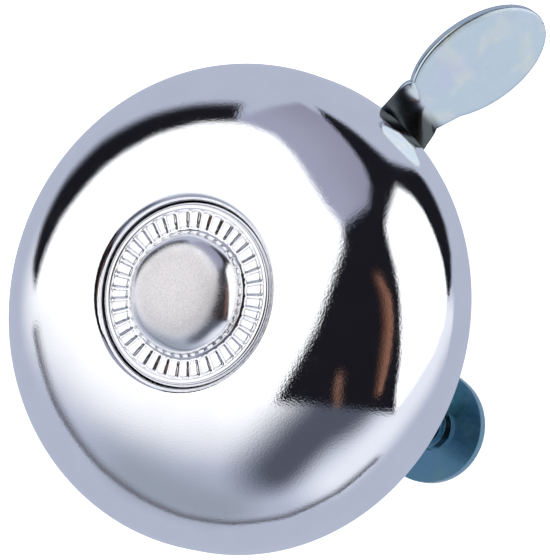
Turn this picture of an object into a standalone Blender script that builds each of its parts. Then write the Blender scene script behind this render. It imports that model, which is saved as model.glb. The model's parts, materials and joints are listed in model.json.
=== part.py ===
"""A thumb-operated bicycle bell for a 22.2 mm handlebar, built piece by piece as it comes apart on a bench.

The origin is the middle of the handlebar, +X runs along the handlebar, and +Z is the bell's own axis,
up through the gong. The thumb lever stands out towards +X. All lengths are in metres.
"""

import math

import bmesh
import bpy
from mathutils import Vector

MM = 0.001

# Clamp: two bent strips round the handlebar, drawn together by two screws
BAR_RADIUS = 11.1 * MM
STRIP_THICKNESS = 1.2 * MM
SADDLE_WIDTH = 12.8 * MM
STRAP_WIDTH = 9.6 * MM  # narrow enough to hide behind the saddle's ears
CROWN_HEIGHT = 12.8 * MM  # underside of the saddle's flat crown, above the handlebar's middle
CROWN_BEND = 2.0 * MM
CROWN_SLOPE = math.radians(55)
BAND_END = math.radians(70)  # where the strip leaves the bar for the ear, from straight up
EAR_LOW = 1.0 * MM  # half the gap between the two halves' ears
SCREW_SPACING = 38.4 * MM
COLLAR_RADIUS = 2.75 * MM
COLLAR_HEIGHT = 1.7 * MM
SCREW_RADIUS = 1.9 * MM
SCREW_HOLE = 2.1 * MM
SCREW_TIP = 4.4 * MM
SCREW_HEAD_RADIUS = 3.5 * MM
SCREW_HEAD_HEIGHT = 2.4 * MM
SLOT_WIDTH = 1.0 * MM
SLOT_DEPTH = 1.1 * MM
LOCK_WASHER_RADIUS = 3.6 * MM
LOCK_WASHER_THICKNESS = 0.9 * MM

# Levels of the mechanism, up from the saddle's crown
REST_GAP = 0.1 * MM  # between two pieces that rest on each other
PLATE_THICKNESS = 1.2 * MM
PLATE_RADIUS = 24.5 * MM
PLATE_LOW = CROWN_HEIGHT + STRIP_THICKNESS + REST_GAP
PLATE_TOP = PLATE_LOW + PLATE_THICKNESS
LIP_TOP = PLATE_TOP + 3.9 * MM  # the plate's turned-up edge, inside the gong
LIP_THICKNESS = 0.9 * MM
PLATE_BEND = 1.2 * MM  # radius of the plate's outer corner
WINDOW = (math.radians(-16), math.radians(24))  # gap in the lip that the lever swings in
SPACER_THICKNESS = 0.4 * MM
LEVER_LOW = PLATE_TOP + SPACER_THICKNESS + 2 * REST_GAP
LEVER_THICKNESS = 1.2 * MM
LEVER_TOP = LEVER_LOW + LEVER_THICKNESS
RIM_LEVEL = LEVER_TOP + 1.1 * MM
WHEEL_LOW = LEVER_TOP + 0.5 * MM
WHEEL_THICKNESS = 1.2 * MM
ROTOR_LOW = LEVER_TOP + 0.4 * MM
BAR_LOW = LEVER_TOP + 2.9 * MM
BAR_THICKNESS = 1.2 * MM
STRIKER_LOW = BAR_LOW + BAR_THICKNESS + 0.2 * MM
STRIKER_THICKNESS = 2.0 * MM
CLIP_THICKNESS = 0.4 * MM

# Gears: the lever's toothed sector turns a double gear, which turns the rotor
MODULE = 0.75 * MM
PRESSURE_ANGLE = math.radians(20)
ADDENDUM = 0.85
DEDENDUM = 1.15
BACKLASH = 0.10 * MM
SECTOR_TEETH = 32  # as a full circle
PINION_TEETH = 8
WHEEL_TEETH = 24
ROTOR_TEETH = 12
LEVER_SWING = math.radians(32)

# Pins riveted into the plate: the part in the plate, its hole, and the head under the plate
SHANK_RADIUS = 1.5 * MM
SHANK_HOLE = 1.7 * MM
SHANK_HEAD_RADIUS = 2.8 * MM
SHANK_HEAD_THICKNESS = 0.7 * MM
SMALL_SHANK_RADIUS = 0.8 * MM
SMALL_SHANK_HOLE = 0.9 * MM
SMALL_SHANK_HEAD_RADIUS = 1.6 * MM
SMALL_SHANK_HEAD_THICKNESS = 0.5 * MM

# Retaining clips, each in a groove of its pin
CLIP_OPENING = math.radians(35)  # half the gap in the ring
GROOVE_SLACK = 0.05 * MM
GEAR_POST_RADIUS = 1.5 * MM
GEAR_POST_GROOVE = 1.1 * MM
GEAR_BORE = 1.6 * MM
GEAR_CLIP = (1.2 * MM, 2.8 * MM)  # inner and outer radius
STUD_GROOVE = 1.9 * MM
ROTOR_CLIP = (2.05 * MM, 4.2 * MM)

# Thumb lever
PIVOT = Vector((14.6, 1.9, 0)) * MM
ARM_ANGLE = math.radians(-18)
ARM_HALF_WIDTH = 3.6 * MM
SHEET_INSET = 0.05 * MM  # keeps the sheet's sides inside the arm where the two are joined
ARM_LENGTH = 10.4 * MM
HUB_RADIUS = 4.2 * MM
RIVET_RADIUS = 2.0 * MM
RIVET_HOLE = 2.2 * MM
RIVET_HEAD_RADIUS = 2.7 * MM
RIVET_HEAD_THICKNESS = 0.9 * MM
NECK_START = 10.8 * MM  # from the pivot, where the arm begins to twist
NECK_LEFT = 2.45 * MM  # the neck's edges where it joins the paddle, from the paddle's middle line
NECK_RIGHT = 4.35 * MM
NECK_JOIN = -7.7 * MM  # from the paddle's centre, along it
NECK_TWIST = 0.64  # share of the neck's twist that comes gradually; the rest comes just before the paddle
NECK_SAG = 0.2 * MM
NECK_STATIONS = 10
PADDLE_CENTRE = Vector((37.6, -3.15, 0)) * MM + Vector((0, 0, RIM_LEVEL - 4.72 * MM))
PADDLE_ALONG = Vector((0.886, -0.225, -0.405)).normalized()
PADDLE_ACROSS = Vector((0.462, 0.483, 0.744)).normalized()
PADDLE_HALF_LENGTH = 8.65 * MM
PADDLE_HALF_WIDTH = 5.5 * MM

# Return spring, coiled round the lever's rivet
WIRE_RADIUS = 0.25 * MM
COIL_RADIUS = 3.3 * MM
COIL_PITCH = 0.54 * MM
COIL_LOW = LEVER_TOP + 0.35 * MM
POST_RADIUS = 1.2 * MM
POST_OVER_COIL = 1.75 * MM  # the post's top, above the coil's lowest turn
SPRING_TAB = Vector((2.4, 1.0, 2.0)) * MM  # the lever's upright tab that the lower leg pushes on
SPRING_LEG = 7.6 * MM

# Rotor and its two loose strikers
STRIKER_REACH = 18.8 * MM
STRIKER_RADIUS = 6.2 * MM
STRIKER_HOLE = 3.0 * MM
ROTOR_ANGLE = math.radians(60)
ROTOR_HALF_WIDTH = 3.4 * MM
PIN_RADIUS = 1.45 * MM
PIN_HEAD_RADIUS = 2.0 * MM
PIN_FOOT_RADIUS = 2.4 * MM
PIN_FOOT_THICKNESS = 0.3 * MM
RETAINER_RADIUS = 3.9 * MM

# Centre stud
STUD_RADIUS = 2.5 * MM
STUD_THREAD = 1.95 * MM
STUD_BORE = 2.7 * MM
STUD_COLLAR = 3.0 * MM  # the rotor stands on it
STUD_SHANK = 2.0 * MM  # in the plate and the saddle
STUD_FOOT_RADIUS = 3.3 * MM
STUD_FOOT_THICKNESS = 0.8 * MM
STUD_THREAD_LENGTH = 5.0 * MM
PLATE_HOLE = STUD_RADIUS - 0.3 * MM  # where the stud is riveted through plate and saddle
THREAD_HOLE = 2.15 * MM
NUT_RADIUS = 4.04 * MM  # 7 mm across its flats
NUT_HEIGHT = 2.0 * MM
SEAT_WASHER_RADIUS = 6.5 * MM
SEAT_WASHER_THICKNESS = 1.0 * MM

# Gong: a superellipse dome on a short straight skirt, with a flat-floored recess in its top
GONG_RADIUS = 27.5 * MM
GONG_WALL = 1.0 * MM
SKIRT = 3.4 * MM
GONG_HEIGHT = 17.6 * MM
GONG_POWER = 2.16
RECESS_RADIUS = 10.4 * MM
RECESS_FLOOR = 15.0 * MM  # above the rim
RECESS_DRAFT = 0.2 * MM

# Boss cap, pressed over the gong's nut
CAP_SHEET = 0.45 * MM
CAP_RADIUS = 10.05 * MM
BEAD_RADIUS = 9.7 * MM
BEAD_HEIGHT = 0.35 * MM
BOSS_RADIUS = 6.9 * MM
BOSS_HEIGHT = 3.3 * MM
BOSS_POWER = 2.6

CHROME = ((0.82, 0.82, 0.85), 0.12)
ZINC = ((0.62, 0.68, 0.72), 0.32)
STEEL = ((0.55, 0.56, 0.58), 0.38)
BRASS = ((0.78, 0.62, 0.32), 0.35)
DARK_STEEL = ((0.30, 0.30, 0.32), 0.42)

ROUND_STEPS = 32

PARTS = "bicycle_bell"
CUTTERS = "cutters"


# Scene and materials


def clear_scene():
    for obj in list(bpy.data.objects):
        bpy.data.objects.remove(obj)
    for name in (PARTS, CUTTERS):
        bpy.context.scene.collection.children.link(bpy.data.collections.new(name))


def finish_material(name, finish):
    """A metal of its own for one piece: its colour and its roughness."""
    colour, roughness = finish
    made = bpy.data.materials.new(name)
    made.use_nodes = True
    shader = made.node_tree.nodes["Principled BSDF"]
    shader.inputs["Base Color"].default_value = (*colour, 1.0)
    shader.inputs["Metallic"].default_value = 1.0
    shader.inputs["Roughness"].default_value = roughness
    return made


def as_piece(obj, finish):
    obj.data.materials.append(finish_material(obj.name, finish))
    bpy.data.collections[PARTS].objects.link(obj)
    return obj


def as_cutter(obj):
    obj.hide_render = True
    obj.display_type = "WIRE"
    bpy.data.collections[CUTTERS].objects.link(obj)
    return obj


# Shapes


def polar(radius, angle):
    return Vector((radius * math.cos(angle), radius * math.sin(angle), 0))


def arc(radius, start, stop, steps, centre=(0, 0)):
    """Points of an arc in the plane, both ends included."""
    angles = [start + (stop - start) * i / steps for i in range(steps + 1)]
    return [(centre[0] + radius * math.cos(a), centre[1] + radius * math.sin(a)) for a in angles]


def circle(radius, centre=(0, 0), steps=ROUND_STEPS):
    return arc(radius, 0, math.tau, steps, centre)[:-1]


def turned(name, profile, at=(0, 0), steps=ROUND_STEPS, ring=False):
    """A turned solid. The profile holds (radius, height) points down its outer side; a ring's one is closed."""
    mesh = bpy.data.meshes.new(name)
    count = len(profile)
    edges = [(i, (i + 1) % count) for i in range(count if ring else count - 1)]
    mesh.from_pydata([(r, 0, z) for r, z in profile], edges, [])
    obj = bpy.data.objects.new(name, mesh)
    obj.location = (at[0], at[1], 0)
    screw = obj.modifiers.new("turn", "SCREW")
    screw.steps = screw.render_steps = steps
    screw.use_merge_vertices = True
    screw.merge_threshold = 0.000001
    return obj


def rod(name, steps_down, at=(0, 0)):
    """A stepped round rod: (radius, top, bottom) of each step, from the top down."""
    profile = [(0, steps_down[0][1])]
    for radius, top, bottom in steps_down:
        profile += [(radius, top), (radius, bottom)]
    profile.append((0, steps_down[-1][2]))
    return turned(name, profile, at)


def washer(name, inner, outer, low, high, at=(0, 0)):
    return turned(name, [(inner, high), (outer, high), (outer, low), (inner, low)], at, ring=True)


def flat(name, loops, low, high, at=(0, 0)):
    """A flat piece: closed outlines, the inner ones its holes, between two heights."""
    curve = bpy.data.curves.new(name, "CURVE")
    curve.dimensions = "2D"
    curve.fill_mode = "BOTH"
    curve.extrude = (high - low) / 2
    for loop in loops:
        spline = curve.splines.new("POLY")
        spline.points.add(len(loop) - 1)
        for point, (x, y) in zip(spline.points, loop):
            point.co = (x, y, 0, 1)
        spline.use_cyclic_u = True
    obj = bpy.data.objects.new(name, curve)
    obj.location = (at[0], at[1], (low + high) / 2)
    return obj


def mesh_of(curve_obj):
    """The curve object as a mesh object with welded caps, which a Boolean can use."""
    bpy.context.scene.collection.objects.link(curve_obj)
    bpy.context.view_layer.update()
    graph = bpy.context.evaluated_depsgraph_get()
    mesh = bpy.data.meshes.new_from_object(curve_obj.evaluated_get(graph))
    welded = bmesh.new()
    welded.from_mesh(mesh)
    bmesh.ops.remove_doubles(welded, verts=welded.verts, dist=0.000001)
    welded.to_mesh(mesh)
    welded.free()
    name = curve_obj.name
    placed = curve_obj.matrix_world.copy()
    bpy.data.objects.remove(curve_obj)
    obj = bpy.data.objects.new(name, mesh)
    obj.matrix_world = placed
    return obj


def combine(obj, other, operation):
    """Joins, cuts or trims obj with a hidden helper."""
    step = obj.modifiers.new(other.name, "BOOLEAN")
    step.operation = operation
    step.object = other
    return obj


def block(name, place, size, turn=0.0):
    """A hidden rectangular helper: its middle, its three sides, and its turn about Z."""
    solid = bmesh.new()
    bmesh.ops.create_cube(solid, size=1)
    mesh = bpy.data.meshes.new(name)
    solid.to_mesh(mesh)
    solid.free()
    obj = bpy.data.objects.new(name, mesh)
    obj.location = place
    obj.rotation_euler.z = turn
    obj.scale = size
    return as_cutter(obj)


def wire(name, points, radius, at):
    curve = bpy.data.curves.new(name, "CURVE")
    curve.dimensions = "3D"
    curve.bevel_depth = radius
    curve.bevel_resolution = 2
    curve.use_fill_caps = True
    spline = curve.splines.new("POLY")
    spline.points.add(len(points) - 1)
    for point, place in zip(spline.points, points):
        point.co = (*place, 1)
    obj = bpy.data.objects.new(name, curve)
    obj.location = (at[0], at[1], 0)
    return obj


# Gears


def involute(angle):
    return math.tan(angle) - angle


def half_tooth_angle(teeth, radius):
    """Half the angle that a tooth takes up at this radius. Under the base circle its sides run to the centre."""
    pitch_radius = MODULE * teeth / 2
    base_radius = pitch_radius * math.cos(PRESSURE_ANGLE)
    at_pitch = math.pi / (2 * teeth) - BACKLASH / (2 * pitch_radius)
    slope = math.acos(min(1, base_radius / radius))
    return at_pitch + involute(PRESSURE_ANGLE) - involute(slope)


def tooth(teeth, middle):
    """One tooth's outline, root to root, anticlockwise."""
    pitch_radius = MODULE * teeth / 2
    root = pitch_radius - DEDENDUM * MODULE
    tip = pitch_radius + ADDENDUM * MODULE
    base = max(root, pitch_radius * math.cos(PRESSURE_ANGLE))
    radii = [root, base, pitch_radius, tip]
    if base == root:
        radii = radii[1:]
    rising = [(r, -half_tooth_angle(teeth, r)) for r in radii]
    falling = [(r, -a) for r, a in reversed(rising)]
    return [tuple(polar(r, middle + a).xy) for r, a in rising + falling]


def gear_outline(teeth, first):
    """A whole gear, with the middle of one tooth at the angle first."""
    points = []
    for i in range(teeth):
        points += tooth(teeth, first + math.tau * i / teeth)
    return points


def gear_angle():
    """Direction of the gear post from the bell's axis: it meshes with the sector and with the rotor."""
    to_axis = MODULE * (WHEEL_TEETH + ROTOR_TEETH) / 2
    to_pivot = MODULE * (SECTOR_TEETH + PINION_TEETH) / 2
    pivot = PIVOT.length
    bend = math.acos((to_axis**2 + pivot**2 - to_pivot**2) / (2 * to_axis * pivot))
    return math.atan2(PIVOT.y, PIVOT.x) + bend


GEAR_ANGLE = gear_angle()
GEAR_POST = polar(MODULE * (WHEEL_TEETH + ROTOR_TEETH) / 2, GEAR_ANGLE)
MESH_ANGLE = math.atan2(*reversed((GEAR_POST - PIVOT).xy))


# Clamp


def saddle_line():
    """Middle line of the saddle's +Y half, from its crown to its ear, as (place, direction) in Y and Z."""
    middle = BAR_RADIUS + STRIP_THICKNESS / 2
    top = CROWN_HEIGHT + STRIP_THICKNESS / 2
    flat_end = (middle - CROWN_BEND - (top - CROWN_BEND) * math.cos(CROWN_SLOPE)) / math.sin(CROWN_SLOPE)
    line = [((0, top), 0)]
    line += bend_line((flat_end, top), 0, -CROWN_SLOPE, CROWN_BEND, 5)
    line += band_line(CROWN_SLOPE)
    return line


def band_line(start):
    """The strip's middle line round the bar from this angle, and out along the ear."""
    middle = BAR_RADIUS + STRIP_THICKNESS / 2
    ear = EAR_LOW + STRIP_THICKNESS / 2
    steps = max(3, round((BAND_END - start) / math.radians(8)))
    angles = [start + (BAND_END - start) * i / steps for i in range(steps)]
    line = [((middle * math.sin(a), middle * math.cos(a)), -a) for a in angles]
    leaving = (middle * math.sin(BAND_END), middle * math.cos(BAND_END))
    turn = (leaving[1] - ear) / (1 - math.cos(BAND_END))
    line += bend_line(leaving, -BAND_END, 0, turn, 7)
    line.append(((SCREW_SPACING / 2 + SADDLE_WIDTH, ear), 0))
    return line


def bend_line(place, start, stop, radius, steps):
    """A round bend in the strip, from one heading to another."""
    side = 1 if stop > start else -1
    centre = (place[0] - side * radius * math.sin(start), place[1] + side * radius * math.cos(start))
    line = []
    for i in range(steps + 1):
        heading = start + (stop - start) * i / steps
        at = (centre[0] + side * radius * math.sin(heading), centre[1] - side * radius * math.cos(heading))
        line.append((at, heading))
    return line


def strip_outline(line):
    """The closed outline of a strip of sheet that follows a line of its +Y half, mirrored to -Y."""
    half = STRIP_THICKNESS / 2
    upper, lower = [
        [(y - side * half * math.sin(h), z + side * half * math.cos(h)) for (y, z), h in line]
        for side in (1, -1)
    ]
    mirrored_upper = [(-y, z) for y, z in reversed(upper[1:])]
    mirrored_lower = [(-y, z) for y, z in lower[1:]]
    return mirrored_upper + upper + list(reversed(lower)) + mirrored_lower


def strip(name, line, upside_down=False):
    """The strip as a mesh, its outline in the Y-Z plane and its width along X."""
    sheet = flat(name, [strip_outline(line)], -SADDLE_WIDTH, SADDLE_WIDTH)
    sheet.location = (0, 0, 0)
    sheet.rotation_euler = (math.pi / 2, 0, math.pi / 2)
    if upside_down:
        sheet.rotation_euler = (-math.pi / 2, 0, -math.pi / 2)
    return mesh_of(sheet)


def ear_outline(width):
    """Plan of a clamp half: straight sides, and a round ear about each screw."""
    reach = SCREW_SPACING / 2
    half = width / 2
    return arc(half, 0, math.pi, 24, (0, reach)) + arc(half, math.pi, math.tau, 24, (0, -reach))


def trim_to_plan(obj, width, centre_hole=None):
    """Rounds the ears and opens the holes, all in one cut."""
    loops = [ear_outline(width)]
    loops += [circle(SCREW_HOLE, (0, side * SCREW_SPACING / 2), 24) for side in (1, -1)]
    if centre_hole:
        loops.append(circle(centre_hole, steps=24))
    plan = as_cutter(mesh_of(flat(obj.name + "_plan", loops, -20 * MM, 20 * MM)))
    return combine(obj, plan, "INTERSECT")


def make_saddle():
    obj = as_piece(strip("clamp_saddle", saddle_line()), ZINC)
    top = EAR_LOW + STRIP_THICKNESS
    for side, end in ((1, "left"), (-1, "right")):
        step = (COLLAR_RADIUS, top + COLLAR_HEIGHT, EAR_LOW + STRIP_THICKNESS / 2)
        collar = as_cutter(rod("collar_" + end, [step], (0, side * SCREW_SPACING / 2)))
        combine(obj, collar, "UNION")
    trim_to_plan(obj, SADDLE_WIDTH, PLATE_HOLE)


def make_strap():
    obj = as_piece(strip("clamp_strap", [*band_line(0)], upside_down=True), ZINC)
    trim_to_plan(obj, STRAP_WIDTH)


def make_clamp_screw(side, end):
    at = (0, side * SCREW_SPACING / 2)
    washer_low = -EAR_LOW - STRIP_THICKNESS - REST_GAP - LOCK_WASHER_THICKNESS
    head_top = washer_low - REST_GAP
    head_low = head_top - SCREW_HEAD_HEIGHT
    tip = [(SCREW_RADIUS * math.sin(a), SCREW_TIP + SCREW_RADIUS * 0.5 * (math.cos(a) - 1))
           for a in (math.radians(22.5 * i) for i in range(5))]
    round_head = [
        (SCREW_HEAD_RADIUS * math.cos(a), head_top - 0.8 * MM - (SCREW_HEAD_HEIGHT - 0.8 * MM) * math.sin(a))
        for a in (math.radians(22.5 * i) for i in range(5))
    ]
    profile = [*tip, (SCREW_RADIUS, head_top), (SCREW_HEAD_RADIUS, head_top), *round_head[:-1], (0, head_low)]
    screw = as_piece(turned("clamp_screw_" + end, profile, at, 24), ZINC)
    slot = block("screw_slot_" + end, (*at, head_low), (3 * SCREW_HEAD_RADIUS, SLOT_WIDTH, 2 * SLOT_DEPTH))
    combine(screw, slot, "DIFFERENCE")
    split = split_ring("lock_washer_" + end, SCREW_HOLE, LOCK_WASHER_RADIUS, washer_low,
                       washer_low + LOCK_WASHER_THICKNESS, at, math.radians(8))
    as_piece(split, ZINC)


def split_ring(name, inner, outer, low, high, at, gap, towards=math.pi / 2):
    """A flat ring with a gap, such as a lock washer or a retaining clip."""
    start, stop = towards + gap, towards + math.tau - gap
    loop = arc(outer, start, stop, 24) + arc(inner, stop, start, 24)
    return flat(name, [loop], low, high, at)


# Base plate and what is riveted to it


def make_base_plate():
    """A shallow pan: its edge is turned up inside the gong, with a window that the lever swings in."""
    inner = PLATE_RADIUS - LIP_THICKNESS
    corner = [(PLATE_RADIUS - PLATE_BEND * (1 - math.cos(a)), PLATE_LOW + PLATE_BEND * (1 + math.sin(a)))
              for a in (math.radians(-30 * i) for i in range(4))]
    profile = [(PLATE_HOLE, PLATE_TOP), (inner, PLATE_TOP), (inner, LIP_TOP), (PLATE_RADIUS, LIP_TOP)]
    profile += [*corner, (PLATE_HOLE, PLATE_LOW)]
    plate = as_piece(turned("base_plate", profile, steps=64, ring=True), ZINC)
    rivets = [circle(SHANK_HOLE, at.xy, 20) for at in (PIVOT, GEAR_POST)]
    rivets.append(circle(SMALL_SHANK_HOLE, spring_post_place().xy, 16))
    holes = mesh_of(flat("rivet_holes", rivets, PLATE_LOW - 1 * MM, PLATE_TOP + 1 * MM))
    window = arc(PLATE_RADIUS + 2 * MM, *WINDOW, 8) + arc(inner - 0.5 * MM, *reversed(WINDOW), 8)
    gap = mesh_of(flat("lever_window", [window], PLATE_TOP + 0.05 * MM, LIP_TOP + 1 * MM))
    for cutter in (holes, gap):
        combine(plate, as_cutter(cutter), "DIFFERENCE")


def make_centre_stud():
    """Riveted through saddle and plate; the rotor turns on it and the gong is screwed to its end."""
    shoulder = RIM_LEVEL + RECESS_FLOOR - GONG_WALL - SEAT_WASHER_THICKNESS - 2 * REST_GAP
    top = shoulder + STUD_THREAD_LENGTH
    clip_top, clip_low = rotor_clip_levels()
    groove_top, groove_low = clip_top + GROOVE_SLACK, clip_low - GROOVE_SLACK
    foot_top = CROWN_HEIGHT - REST_GAP
    steps = [
        (STUD_THREAD, top, shoulder),
        (STUD_RADIUS, shoulder, groove_top),
        (STUD_GROOVE, groove_top, groove_low),
        (STUD_RADIUS, groove_low, ROTOR_LOW - REST_GAP),
        (STUD_COLLAR, ROTOR_LOW - REST_GAP, PLATE_TOP + REST_GAP),
        (STUD_SHANK, PLATE_TOP + REST_GAP, foot_top),
        (STUD_FOOT_RADIUS, foot_top, foot_top - STUD_FOOT_THICKNESS),
    ]
    as_piece(rod("centre_stud", steps), STEEL)


def shank_head():
    """The last step of a rivet or post: its spread end under the plate."""
    return (SHANK_HEAD_RADIUS, PLATE_LOW - REST_GAP, PLATE_LOW - REST_GAP - SHANK_HEAD_THICKNESS)


def make_lever_rivet():
    head_low = LEVER_TOP + REST_GAP
    steps = [
        (RIVET_HEAD_RADIUS, head_low + RIVET_HEAD_THICKNESS, head_low),
        (RIVET_RADIUS, head_low, PLATE_TOP + REST_GAP),
        (SHANK_RADIUS, PLATE_TOP + REST_GAP, PLATE_LOW - REST_GAP),
        shank_head(),
    ]
    as_piece(rod("lever_rivet", steps, PIVOT), STEEL)
    as_piece(washer("lever_washer", RIVET_HOLE, HUB_RADIUS, PLATE_TOP + REST_GAP,
                    PLATE_TOP + REST_GAP + SPACER_THICKNESS, PIVOT), BRASS)


def make_gear_post():
    clip_low = WHEEL_LOW + WHEEL_THICKNESS + REST_GAP
    clip_top = clip_low + CLIP_THICKNESS
    groove_top, groove_low = clip_top + GROOVE_SLACK, clip_low - GROOVE_SLACK
    steps = [
        (GEAR_POST_RADIUS, groove_top + 0.3 * MM, groove_top),
        (GEAR_POST_GROOVE, groove_top, groove_low),
        (GEAR_POST_RADIUS, groove_low, PLATE_LOW - REST_GAP),
        shank_head(),
    ]
    as_piece(rod("gear_post", steps, GEAR_POST), STEEL)
    clip = split_ring("gear_clip", *GEAR_CLIP, clip_low, clip_top, GEAR_POST, CLIP_OPENING)
    as_piece(clip, DARK_STEEL)


def arm_direction():
    """Unit vectors along the lever's arm and to its left."""
    return polar(1, ARM_ANGLE), polar(1, ARM_ANGLE + math.pi / 2)


def spring_post_place():
    along, left = arm_direction()
    return PIVOT + along * 6.0 * MM - left * (HUB_RADIUS + POST_RADIUS + 0.1 * MM)


def make_spring_post():
    steps = [
        (POST_RADIUS, COIL_LOW + POST_OVER_COIL, PLATE_TOP + REST_GAP),
        (SMALL_SHANK_RADIUS, PLATE_TOP + REST_GAP, PLATE_LOW - REST_GAP),
        (SMALL_SHANK_HEAD_RADIUS, PLATE_LOW - REST_GAP, PLATE_LOW - REST_GAP - SMALL_SHANK_HEAD_THICKNESS),
    ]
    as_piece(rod("spring_post", steps, spring_post_place()), STEEL)


def make_return_spring():
    """Lower leg on the lever's tab, two and a half turns round the rivet's head, upper leg on the spring post."""
    to_post = spring_post_place() - PIVOT
    lean = math.asin((COIL_RADIUS - POST_RADIUS - WIRE_RADIUS - 0.15 * MM) / to_post.length)
    leg_angle = math.atan2(to_post.y, to_post.x) + lean
    start = ARM_ANGLE + math.pi / 2
    sweep = (leg_angle - math.pi / 2 - start) % math.tau + 2 * math.tau
    turns = round(sweep / math.radians(20))
    points = [polar(COIL_RADIUS, start) + polar(SPRING_LEG, ARM_ANGLE) + Vector((0, 0, COIL_LOW))]
    for i in range(turns + 1):
        angle = sweep * i / turns
        height = COIL_LOW + COIL_PITCH * angle / math.tau
        points.append(polar(COIL_RADIUS, start + angle) + Vector((0, 0, height)))
    points.append(points[-1] + polar(SPRING_LEG + 2.5 * MM, leg_angle))
    as_piece(wire("return_spring", points, WIRE_RADIUS, PIVOT), DARK_STEEL)


# Thumb lever


def lever_outline():
    """Plan about the pivot: arm, toothed sector and hub, anticlockwise from the arm's right side."""
    along, left = arm_direction()
    step = math.tau / SECTOR_TEETH
    root = MODULE * SECTOR_TEETH / 2 - DEDENDUM * MODULE
    last = MESH_ANGLE + step
    count = math.ceil((LEVER_SWING + 2 * step) / step) + 1
    first = last - step * (count - 1)
    points = [along * ARM_LENGTH - left * ARM_HALF_WIDTH, along * ARM_LENGTH + left * ARM_HALF_WIDTH]
    points += [along * 7 * MM + left * ARM_HALF_WIDTH, polar(5 * MM, ARM_ANGLE + math.radians(75))]
    points.append(polar(root, first - step / 2))
    for i in range(count):
        points += [Vector((*p, 0)) for p in tooth(SECTOR_TEETH, first + i * step)]
    points.append(polar(root, last + step / 2))
    outline = [tuple(p.xy) for p in points]
    return outline + arc(HUB_RADIUS, last + math.radians(45), ARM_ANGLE + math.radians(270), 12)


def paddle_edges(reach):
    """The paddle's left and right edge at this distance along it from its centre: an ellipse, or the neck's side."""
    ellipse = PADDLE_HALF_WIDTH * math.sqrt(1 - (reach / PADDLE_HALF_LENGTH) ** 2)
    left = max(ellipse, NECK_LEFT)
    right = max(ellipse, NECK_RIGHT + 0.1 * (reach - NECK_JOIN))
    if reach > 0:
        left = right = ellipse
    middle = PADDLE_CENTRE + PADDLE_ALONG * reach
    return middle + PADDLE_ACROSS * left, middle - PADDLE_ACROSS * right


def neck_edges(share):
    """The neck's left and right edge: it leaves the arm flat, and twists and droops on its way to the paddle."""
    along, left = arm_direction()
    start = PIVOT + along * NECK_START + Vector((0, 0, LEVER_LOW + LEVER_THICKNESS / 2))
    end_left, end_right = paddle_edges(NECK_JOIN)
    end = (end_left + end_right) / 2
    run = end - start
    arriving = (run.normalized() + PADDLE_ALONG).normalized()
    middle = hermite(start, along * run.length, end, arriving * run.length, share)
    middle.z -= NECK_SAG * math.sin(math.pi * share) ** 2
    twist = NECK_TWIST * share**0.75 + (1 - NECK_TWIST) * share**7
    across = left.lerp(PADDLE_ACROSS, twist).normalized()
    arm_half = ARM_HALF_WIDTH - SHEET_INSET
    half = arm_half + ((end_left - end_right).length / 2 - arm_half) * share
    return middle + across * half, middle - across * half


def paddle_stations():
    """The bent end of the lever as (left edge, right edge), from the arm out to the tip."""
    along, left = arm_direction()
    start_left, start_right = neck_edges(0)
    stations = [(start_left - along * back * MM, start_right - along * back * MM) for back in (2.8, 1.4)]
    stations += [neck_edges(i / NECK_STATIONS) for i in range(NECK_STATIONS)]
    joined = math.asin(NECK_JOIN / PADDLE_HALF_LENGTH)
    for i in range(19):
        angle = joined + (math.radians(86) - joined) * i / 18
        stations.append(paddle_edges(PADDLE_HALF_LENGTH * math.sin(angle)))
    return stations


def hermite(start, start_slope, end, end_slope, t):
    """A point of the smooth curve that leaves start and reaches end with these slopes."""
    return (
        start * (2 * t**3 - 3 * t**2 + 1)
        + start_slope * (t**3 - 2 * t**2 + t)
        + end * (3 * t**2 - 2 * t**3)
        + end_slope * (t**3 - t**2)
    )


def paddle_sheet():
    """A grid laid over the stations, given the sheet's thickness by Solidify."""
    stations = paddle_stations()
    columns = 8
    grid = bmesh.new()
    bmesh.ops.create_grid(grid, x_segments=columns, y_segments=len(stations) - 1, size=0.5)
    for vert in grid.verts:
        row = round((vert.co.y + 0.5) * (len(stations) - 1))
        left, right = stations[row]
        vert.co = right.lerp(left, vert.co.x + 0.5)
    mesh = bpy.data.meshes.new("paddle_sheet")
    grid.to_mesh(mesh)
    grid.free()
    sheet = bpy.data.objects.new("paddle_sheet", mesh)
    thick = sheet.modifiers.new("thickness", "SOLIDIFY")
    thick.thickness = LEVER_THICKNESS - 0.06 * MM
    thick.offset = 0
    return as_cutter(sheet)


def make_thumb_lever():
    loops = [lever_outline(), circle(RIVET_HOLE, steps=32)]
    lever = as_piece(mesh_of(flat("thumb_lever", loops, LEVER_LOW, LEVER_TOP, PIVOT)), ZINC)
    combine(lever, paddle_sheet(), "UNION")
    along, left = arm_direction()
    place = PIVOT + along * 6.6 * MM + left * 2.3 * MM + Vector((0, 0, LEVER_TOP + 0.1 * MM))
    combine(lever, block("spring_tab", place, SPRING_TAB, ARM_ANGLE), "UNION")


# Double gear and rotor


def make_double_gear():
    pinion_first = MESH_ANGLE + math.pi + math.pi / PINION_TEETH
    wheel_first = GEAR_ANGLE + math.pi
    bore = circle(GEAR_BORE, steps=24)
    as_piece(flat("intermediate_pinion", [gear_outline(PINION_TEETH, pinion_first), bore],
                  LEVER_LOW - 0.2 * MM, WHEEL_LOW - REST_GAP, GEAR_POST), BRASS)
    as_piece(flat("intermediate_wheel", [gear_outline(WHEEL_TEETH, wheel_first), bore],
                  WHEEL_LOW, WHEEL_LOW + WHEEL_THICKNESS, GEAR_POST), BRASS)


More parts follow.
